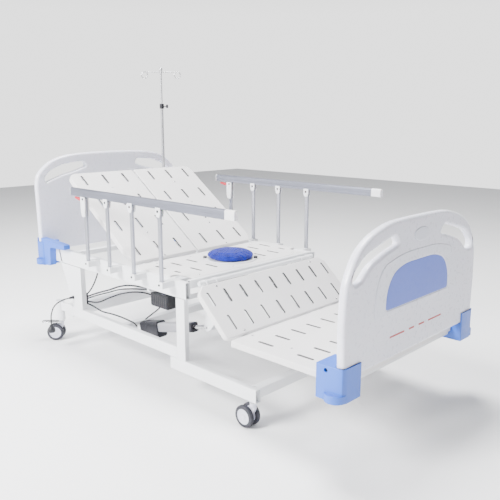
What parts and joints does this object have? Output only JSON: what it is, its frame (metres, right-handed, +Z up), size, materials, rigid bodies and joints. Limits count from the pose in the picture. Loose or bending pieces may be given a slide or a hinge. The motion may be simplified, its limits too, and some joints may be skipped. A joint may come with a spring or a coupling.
{
  "type": "adjustable hospital bed",
  "caption": "Powered nursing bed with raised split back, level foot section, commode opening, folding side rails, casters and infusion pole.",
  "frame": {"origin": "on the floor under the middle of the bed", "axes": "+X towards the foot end, +Y to the patient's left, +Z up"},
  "size_m": [2.1498, 1.104, 1.569],
  "materials": {
    "white_frame": "satin powder coat",
    "deck_sheet": "satin powder coat, warm off-white",
    "board_shell": "semi-gloss moulded shell",
    "blue_plastic": "satin moulded",
    "blue_insert": "satin",
    "white_plastic": "satin",
    "grey_plastic": "satin",
    "cushion_fabric": "woven cover over foam",
    "rail_aluminium": "anodised, fine satin",
    "red_plastic": "gloss",
    "bright_steel": "bright, finely brushed",
    "black_plastic": "satin",
    "caster_plastic": "satin",
    "tyre_rubber": "dull tread, paler hub"
  },
  "bodies": {
    "bed_frame": {"base_frame": "white_frame", "upper_frame": "white_frame", "seat_panel": "deck_sheet", "headboard": "board_shell", "head_corner_block_right": "blue_plastic", "head_corner_block_left": "blue_plastic", "control_box": "black_plastic", "frame_leads": "black_plastic", "motor_lead": "black_plastic", "iv_pole_tube": "bright_steel", "back_actuator": "black_plastic", "mains_gland": "black_plastic", "mains_lead": "black_plastic", "mains_plug": "black_plastic"},
    "back_section": {"back_frame": "white_frame"},
    "back_half_right": {"back_panel_right": "deck_sheet"},
    "back_half_left": {"back_panel_left": "deck_sheet"},
    "back_ram": {"back_actuator_rod": "bright_steel"},
    "leg_section": {"thigh_panel": "deck_sheet", "thigh_frame": "white_frame"},
    "foot_section": {"foot_panel": "deck_sheet", "foot_frame": "white_frame", "footboard": "board_shell", "footboard_insert": "blue_insert", "foot_corner_block_right": "blue_plastic", "foot_corner_block_left": "blue_plastic"},
    "level_links": {"foot_level_link_right": "white_frame", "foot_level_link_left": "white_frame"},
    "leg_motor": {"leg_actuator": "black_plastic"},
    "leg_ram": {"leg_actuator_rod": "bright_steel"},
    "commode_bucket": {"commode_bucket": "grey_plastic"},
    "commode_lid": {"commode_cover": "white_plastic", "commode_cushion": "cushion_fabric"},
    "iv_rod": {"iv_pole_rod": "bright_steel", "iv_pole_hooks": "bright_steel"},
    "iv_knob": {"iv_pole_knob": "black_plastic"},
    "rail_post_right_1": {"rail_post_right_1": "rail_aluminium"},
    "rail_post_right_2": {"rail_post_right_2": "rail_aluminium"},
    "rail_post_right_3": {"rail_post_right_3": "rail_aluminium"},
    "rail_post_right_4": {"rail_post_right_4": "rail_aluminium"},
    "handrail_right": {"handrail_right": "rail_aluminium", "rail_lock_housing_right": "white_plastic"},
    "release_lever_right": {"rail_release_lever_right": "red_plastic"},
    "rail_post_left_1": {"rail_post_left_1": "rail_aluminium"},
    "rail_post_left_2": {"rail_post_left_2": "rail_aluminium"},
    "rail_post_left_3": {"rail_post_left_3": "rail_aluminium"},
    "rail_post_left_4": {"rail_post_left_4": "rail_aluminium"},
    "handrail_left": {"handrail_left": "rail_aluminium", "rail_lock_housing_left": "white_plastic"},
    "release_lever_left": {"rail_release_lever_left": "red_plastic"},
    "caster_head_right": {"caster_fork_head_right": "caster_plastic"},
    "wheels_head_right": {"caster_wheels_head_right": "tyre_rubber"},
    "pedal_head_right": {"brake_pedal_head_right": "bright_steel"},
    "caster_head_left": {"caster_fork_head_left": "caster_plastic"},
    "wheels_head_left": {"caster_wheels_head_left": "tyre_rubber"},
    "pedal_head_left": {"brake_pedal_head_left": "bright_steel"},
    "caster_foot_right": {"caster_fork_foot_right": "caster_plastic"},
    "wheels_foot_right": {"caster_wheels_foot_right": "tyre_rubber"},
    "caster_foot_left": {"caster_fork_foot_left": "caster_plastic"},
    "wheels_foot_left": {"caster_wheels_foot_left": "tyre_rubber"}
  },
  "joints": [
    {"name": "back_raise", "type": "hinge", "parent": "bed_frame", "child": "back_section", "pos_m": [-0.237, 0, 0.541], "axis": [0, 1, 0], "range_deg": [-35, 40]},
    {"name": "back_turn_right", "type": "hinge", "parent": "back_section", "child": "back_half_right", "pos_m": [-0.23356, 0, 0.54592], "axis": [-0.8192, 0, 0.5736], "range_deg": [0, 25]},
    {"name": "back_turn_left", "type": "hinge", "parent": "back_section", "child": "back_half_left", "pos_m": [-0.23356, 0, 0.54592], "axis": [0.8192, 0, -0.5736], "range_deg": [0, 25]},
    {"name": "back_ram_slide", "type": "slide", "parent": "bed_frame", "child": "back_ram", "axis": [-1, 0, 0], "range_m": [-0.105, 0.12]},
    {"name": "leg_lower", "type": "hinge", "parent": "bed_frame", "child": "leg_section", "pos_m": [0.216, 0, 0.541], "axis": [0, -1, 0], "range_deg": [0, 55]},
    {"name": "foot_level", "type": "hinge", "parent": "leg_section", "child": "foot_section", "pos_m": [0.44053, 0, 0.33163], "axis": [0, -1, 0], "range_deg": [-56, 1]},
    {"name": "foot_links", "type": "hinge", "parent": "bed_frame", "child": "level_links", "pos_m": [0.216, 0, 0.461], "axis": [0, -1, 0], "range_deg": [-1, 56]},
    {"name": "leg_motor_pivot", "type": "hinge", "parent": "bed_frame", "child": "leg_motor", "pos_m": [-0.31, -0.333, 0.2], "axis": [0, -1, 0], "range_deg": [-1, 3]},
    {"name": "leg_ram_slide", "type": "slide", "parent": "leg_motor", "child": "leg_ram", "axis": [0.9734, 0, 0.2292], "range_m": [-0.005, 0.205]},
    {"name": "rail_right_fold", "type": "hinge", "parent": "bed_frame", "child": "rail_post_right_1", "pos_m": [-0.51, -0.508, 0.535], "axis": [0, -1, 0], "range_deg": [0, 80]},
    {"name": "rail_right_fold_2", "type": "hinge", "parent": "bed_frame", "child": "rail_post_right_2", "pos_m": [-0.317, -0.508, 0.535], "axis": [0, -1, 0], "range_deg": [-1, 81]},
    {"name": "rail_right_fold_3", "type": "hinge", "parent": "bed_frame", "child": "rail_post_right_3", "pos_m": [-0.118, -0.508, 0.535], "axis": [0, -1, 0], "range_deg": [-1, 81]},
    {"name": "rail_right_fold_4", "type": "hinge", "parent": "bed_frame", "child": "rail_post_right_4", "pos_m": [0.089, -0.508, 0.535], "axis": [0, -1, 0], "range_deg": [-1, 81]},
    {"name": "handrail_right_level", "type": "hinge", "parent": "rail_post_right_1", "child": "handrail_right", "pos_m": [-0.51, -0.508, 0.865], "axis": [0, -1, 0], "range_deg": [-81, 1]},
    {"name": "release_lever_right_press", "type": "hinge", "parent": "handrail_right", "child": "release_lever_right", "pos_m": [-0.5375, -0.508, 0.86], "axis": [0, -1, 0], "range_deg": [0, 18], "stiffness_Nm_per_rad": 0.6},
    {"name": "rail_left_fold", "type": "hinge", "parent": "bed_frame", "child": "rail_post_left_1", "pos_m": [-0.51, 0.508, 0.535], "axis": [0, -1, 0], "range_deg": [0, 80]},
    {"name": "rail_left_fold_2", "type": "hinge", "parent": "bed_frame", "child": "rail_post_left_2", "pos_m": [-0.317, 0.508, 0.535], "axis": [0, -1, 0], "range_deg": [-1, 81]},
    {"name": "rail_left_fold_3", "type": "hinge", "parent": "bed_frame", "child": "rail_post_left_3", "pos_m": [-0.118, 0.508, 0.535], "axis": [0, -1, 0], "range_deg": [-1, 81]},
    {"name": "rail_left_fold_4", "type": "hinge", "parent": "bed_frame", "child": "rail_post_left_4", "pos_m": [0.089, 0.508, 0.535], "axis": [0, -1, 0], "range_deg": [-1, 81]},
    {"name": "handrail_left_level", "type": "hinge", "parent": "rail_post_left_1", "child": "handrail_left", "pos_m": [-0.51, 0.508, 0.865], "axis": [0, -1, 0], "range_deg": [-81, 1]},
    {"name": "release_lever_left_press", "type": "hinge", "parent": "handrail_left", "child": "release_lever_left", "pos_m": [-0.5375, 0.508, 0.86], "axis": [0, -1, 0], "range_deg": [0, 18], "stiffness_Nm_per_rad": 0.6},
    {"name": "commode_lid_lift", "type": "slide", "parent": "bed_frame", "child": "commode_lid", "axis": [0, 0, 1], "range_m": [0, 0.15]},
    {"name": "commode_bucket_pull", "type": "slide", "parent": "bed_frame", "child": "commode_bucket", "axis": [0, -1, 0], "range_m": [0, 0.45]},
    {"name": "iv_rod_height", "type": "slide", "parent": "bed_frame", "child": "iv_rod", "axis": [0, 0, 1], "range_m": [-0.18, 0.25]},
    {"name": "iv_knob_turn", "type": "hinge", "parent": "bed_frame", "child": "iv_knob", "pos_m": [-0.985, 0.365, 1.332], "axis": [0.7193, 0.6947, 0], "range_deg": [0, 180]},
    {"name": "swivel_head_right", "type": "hinge", "parent": "bed_frame", "child": "caster_head_right", "pos_m": [-0.95, -0.44, 0], "axis": [0, 0, 1], "continuous": true},
    {"name": "roll_head_right", "type": "hinge", "parent": "caster_head_right", "child": "wheels_head_right", "pos_m": [-0.97302, -0.46223, 0.048], "axis": [-0.6947, 0.7193, 0], "continuous": true},
    {"name": "brake_head_right", "type": "hinge", "parent": "caster_head_right", "child": "pedal_head_right", "pos_m": [-0.95, -0.44, 0.106], "axis": [0.6947, -0.7193, 0], "range_deg": [0, 8]},
    {"name": "swivel_head_left", "type": "hinge", "parent": "bed_frame", "child": "caster_head_left", "pos_m": [-0.95, 0.44, 0], "axis": [0, 0, 1], "continuous": true},
    {"name": "roll_head_left", "type": "hinge", "parent": "caster_head_left", "child": "wheels_head_left", "pos_m": [-0.982, 0.44, 0.048], "axis": [0, 1, 0], "continuous": true},
    {"name": "brake_head_left", "type": "hinge", "parent": "caster_head_left", "child": "pedal_head_left", "pos_m": [-0.95, 0.44, 0.106], "axis": [0, -1, 0], "range_deg": [0, 8]},
    {"name": "swivel_foot_right", "type": "hinge", "parent": "bed_frame", "child": "caster_foot_right", "pos_m": [0.588, -0.44, 0], "axis": [0, 0, 1], "continuous": true},
    {"name": "roll_foot_right", "type": "hinge", "parent": "caster_foot_right", "child": "wheels_foot_right", "pos_m": [0.556, -0.44, 0.048], "axis": [0, 1, 0], "continuous": true},
    {"name": "swivel_foot_left", "type": "hinge", "parent": "bed_frame", "child": "caster_foot_left", "pos_m": [0.588, 0.44, 0], "axis": [0, 0, 1], "continuous": true},
    {"name": "roll_foot_left", "type": "hinge", "parent": "caster_foot_left", "child": "wheels_foot_left", "pos_m": [0.556, 0.44, 0.048], "axis": [0, 1, 0], "continuous": true}
  ],
  "couplings": [
    {"joint": "back_ram_slide", "follows": "back_raise", "m_per_rad": 0.165},
    {"joint": "foot_level", "follows": "leg_lower", "ratio": -1},
    {"joint": "foot_links", "follows": "leg_lower", "ratio": 1},
    {"joint": "leg_motor_pivot", "follows": "leg_lower", "ratio": 0.03},
    {"joint": "leg_ram_slide", "follows": "leg_lower", "m_per_rad": 0.21},
    {"joint": "rail_right_fold_2", "follows": "rail_right_fold", "ratio": 1},
    {"joint": "rail_right_fold_3", "follows": "rail_right_fold", "ratio": 1},
    {"joint": "rail_right_fold_4", "follows": "rail_right_fold", "ratio": 1},
    {"joint": "handrail_right_level", "follows": "rail_right_fold", "ratio": -1},
    {"joint": "rail_left_fold_2", "follows": "rail_left_fold", "ratio": 1},
    {"joint": "rail_left_fold_3", "follows": "rail_left_fold", "ratio": 1},
    {"joint": "rail_left_fold_4", "follows": "rail_left_fold", "ratio": 1},
    {"joint": "handrail_left_level", "follows": "rail_left_fold", "ratio": -1}
  ]
}
